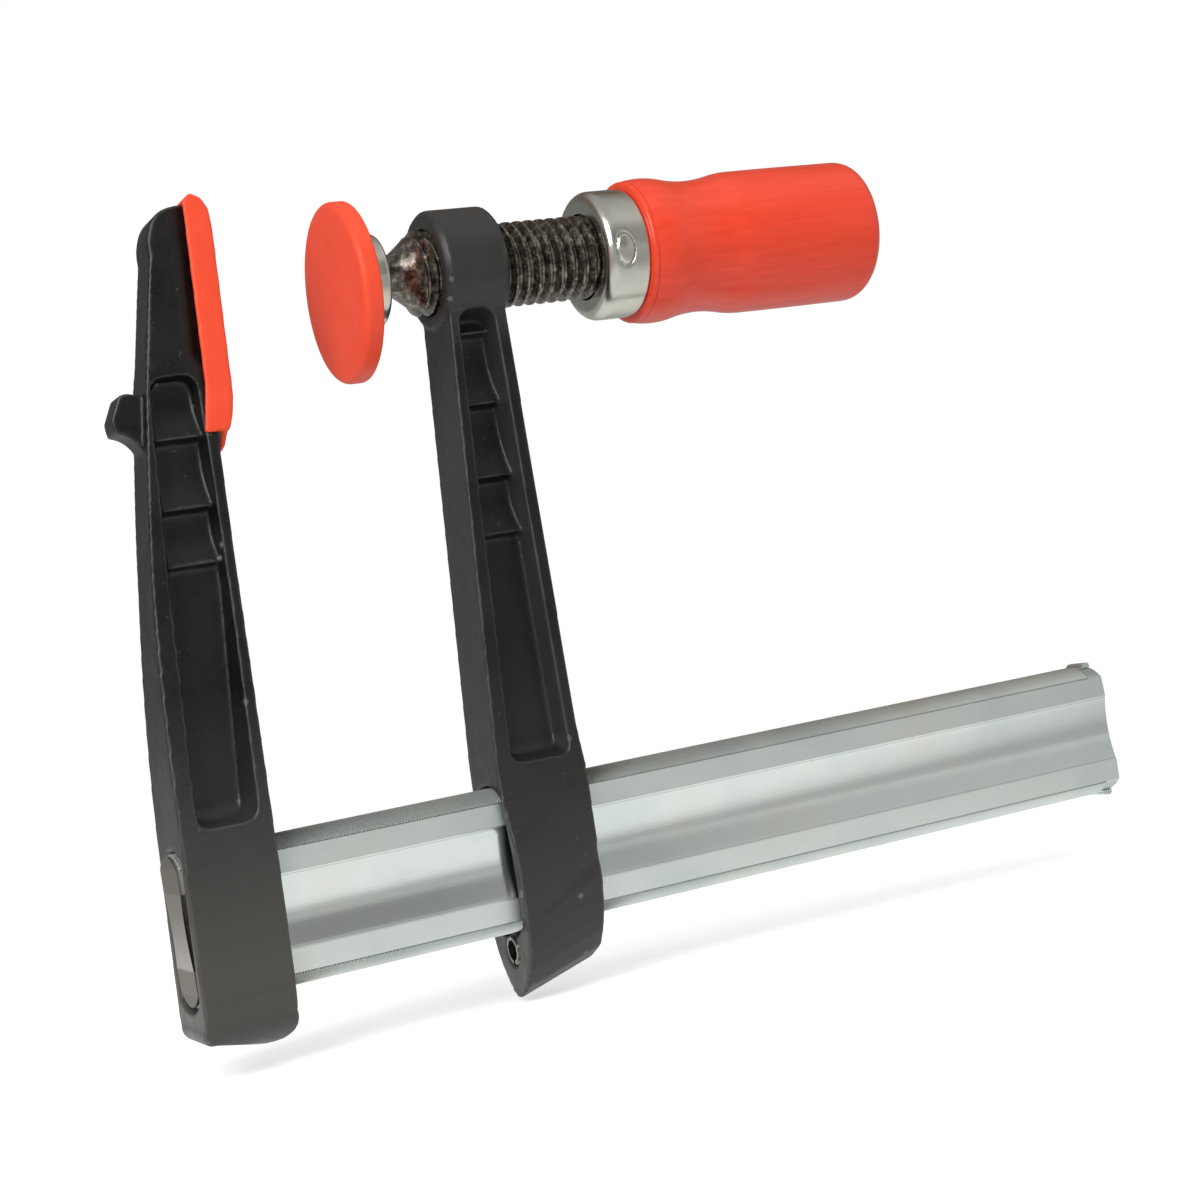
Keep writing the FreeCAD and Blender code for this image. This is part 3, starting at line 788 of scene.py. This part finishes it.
collar = [(76.3, 8.6), (76.3, 10.3)] + quarter(78.6, 10.5, 2.3, 175, 12)
collar += [(79.0 + i * ROW_STEP, FERRULE_R) for i in range(ROWS)]
collar += [(85.2, 12.75), (85.4, 12.5), (85.4, 11.5), (78.5, 11.5), (78.5, 8.6)]
band = lathe(collar + [collar[0]], "collar", steps=COLLAR_STEPS)
for vertex in band.data.vertices:
    x, y, z = [c / MM for c in vertex.co]
    if y > 0 or math.hypot(y, z) < 12.4:
        continue
    along = (x - BUTTON_X) / BUTTON_HALF_WIDTH
    around = (math.atan2(z, -y) - PIN_ANGLE) * FERRULE_R / BUTTON_HALF_LENGTH
    reach = math.hypot(along, around)
    if reach < 1.15:
        groove_depth = OUTLINE_DEPTH * math.exp(-((reach - OUTLINE_AT) / OUTLINE_WIDTH) ** 2)
        swell = BUTTON_RISE * max(0, 1 - reach ** 2)
        lift = 1 + (swell - groove_depth) / FERRULE_R
        vertex.co.y *= lift
        vertex.co.z *= lift
smooth(band, 50)
stand_in_for(band, "ferrule", "screw", plated)

# %% Cross pin with domed ends
end = [(-13.12, ON_AXIS), (-13.02, 0.7), (-12.78, 1.25), (-12.4, 1.65), (-12.1, 1.8)]
cross_pin = lathe(end + [(-x, r) for x, r in reversed(end)], "cross_pin", steps=48)
only(cross_pin)
bpy.ops.transform.rotate(value=math.radians(90), orient_axis="Z", center_override=(0, 0, 0))
bpy.ops.transform.rotate(value=PIN_ANGLE, orient_axis="X", center_override=(0, 0, 0))
bpy.ops.transform.translate(value=(PIN_X * MM, 0, 0))
settle(cross_pin, "cross_pin")
smooth(cross_pin, 40)
stand_in_for(cross_pin, "handle_pin", "screw", plated)

# %% [markdown]
# The handle is a turned beech grip: a bead behind the collar with a fine line cut beside its
# edge, a waist for the fingers and a long grip with a rounded end.

# %% Handle
grip = [(121.5, ON_AXIS), (121.5, 4.65), (80.3, 4.65), (80.3, 11.45), (85.42, 11.45)]
grip += [(85.42, 13.2)]
grip += quarter(86.3, 13.35, 0.8, 170, 4)
grip += [(86.5, 14.12), (86.62, 14.0), (86.74, 14.18)]
grip += arc(86.74, 14.18, 94.2, 14.02, 0.42, 10)
grip += arc(94.2, 14.02, 106.4, 13.95, -0.72, 16)
grip += arc(106.4, 13.95, 110.4, 14.42, 0.1, 5)
grip += [(120, 14.48), (135.6, 14.46)] + arc(135.6, 14.46, 139.1, 11.4, 0.95, 10)
grip += [(139.1, ON_AXIS)]
wood = lathe(grip, "turned_handle", steps=ROUND_STEPS)
smooth(wood, 40)
stand_in_for(wood, "handle", "screw", lacquer)

# %% [markdown]
# ## Finishes on the solids that are right as they are

# %% Dress the other nodes
for node, material in (("retaining_ring", plated), ("thrust_cup", oiled), ("roll_pin", oiled)):
    dress(frame["nodes"][node], material)
    print(node, "keeps its solid")

# %% [markdown]
# ## Floor and light
# The clamp stands on a white sweep that fades to plain white away from it. Soft lamps from the
# left front, from above and weakly from the right light it. Metal mirrors the white floor, a grey
# room in front with a bright ceiling lamp, and a dark room behind.

# %% Floor
FLOOR_Z = -0.1412
bpy.ops.object.select_all(action="DESELECT")
bpy.ops.mesh.primitive_plane_add(size=12, location=(0, 0, FLOOR_Z))
floor = bpy.context.object
floor.name = "floor"
paper, tree, surface, place = new_material("white_paper_sweep")
surface.inputs["Base Color"].default_value = colour("#E8E8E8")
surface.inputs["Roughness"].default_value = 0.9
path = add(tree, "LightPath")
lit = add(tree, "Emission", {"Color": WHITE, "Strength": 0.5})
glow = add(tree, "AddShader", links={0: surface.outputs[0], 1: lit.outputs[0]})
plain = add(tree, "Emission", {"Color": WHITE, "Strength": 1})
distance = add(tree, "VectorMath", links={0: place}, operation="LENGTH").outputs["Value"]
far = between(tree, distance, 0.2, 0.45)
seen = add(tree, "MixShader", links={0: far, 1: glow.outputs[0], 2: plain.outputs[0]})
fade = between(tree, distance, 0.16, 0.34, low=0.95, high=0.45)
mirror = add(tree, "Emission", {"Color": WHITE}, {"Strength": fade})
bounce = add(tree, "MixShader", links={
    0: path.outputs["Is Glossy Ray"], 1: surface.outputs[0], 2: mirror.outputs[0]})
choose = add(tree, "MixShader", links={
    0: path.outputs["Is Camera Ray"], 1: bounce.outputs[0], 2: seen.outputs[0]})
tree.links.new(choose.outputs[0], tree.nodes["Material Output"].inputs["Surface"])
dress(floor, paper)

# %% World
world = bpy.data.worlds.new("studio")
bpy.context.scene.world = world
world.use_nodes = True
tree = world.node_tree
tree.nodes.clear()
path = add(tree, "LightPath")
direction = add(tree, "TexCoord").outputs["Generated"]
way = add(tree, "SeparateXYZ", links={"Vector": direction})
front = ramp(tree, way.outputs["Z"], [
    (0.0, 0.8), (0.02, 0.5), (0.08, 0.27), (0.5, 0.3), (0.72, 0.7), (0.95, 0.5)])
back = ramp(tree, way.outputs["Z"], [
    (0.0, 0.34), (0.1, 0.24), (0.45, 0.18), (0.68, colour("#75604F")), (0.9, 0.42)])
behind = between(tree, way.outputs["Y"], -0.1, 0.35)
right_side = between(tree, way.outputs["X"], 0.38, 0.62, high=0.5)
room = blend(tree, right_side, front, (0.8, 0.8, 0.8, 1))
sky = blend(tree, behind, room, back)
mirrored = add(tree, "Background", {"Strength": 1}, {"Color": sky})
white = add(tree, "Background", {"Color": WHITE, "Strength": 1})
ambient = add(tree, "Background", {"Color": WHITE, "Strength": 0.5})
first = add(tree, "MixShader", links={
    0: path.outputs["Is Glossy Ray"], 1: ambient.outputs[0], 2: mirrored.outputs[0]})
last = add(tree, "MixShader", links={
    0: path.outputs["Is Camera Ray"], 1: first.outputs[0], 2: white.outputs[0]})
add(tree, "OutputWorld", links={"Surface": last.outputs[0]})
print("floor at", FLOOR_Z)


# %% Lamps
def lamp(name, place_m, aim_m, size, watts):
    data = bpy.data.lights.new(name, "AREA")
    data.shape = "RECTANGLE"
    data.size, data.size_y = size
    data.energy = watts
    light = bpy.data.objects.new(name, data)
    bpy.context.scene.collection.objects.link(light)
    light.location = place_m
    light.rotation_euler = (Vector(aim_m) - Vector(place_m)).to_track_quat("-Z", "Y").to_euler()
    return light


middle = (0.05, 0, -0.06)
lamp("key", (-0.7, -0.55, 0.45), middle, (0.6, 0.6), 7.5)
for light in (lamp("top", (0.15, -0.3, 0.75), middle, (0.7, 0.5), 2.5),
              lamp("fill", (0.8, -0.6, 0.1), middle, (0.5, 0.7), 1.2)):
    light.visible_glossy = False

scene = bpy.context.scene
scene.view_settings.view_transform = "Standard"
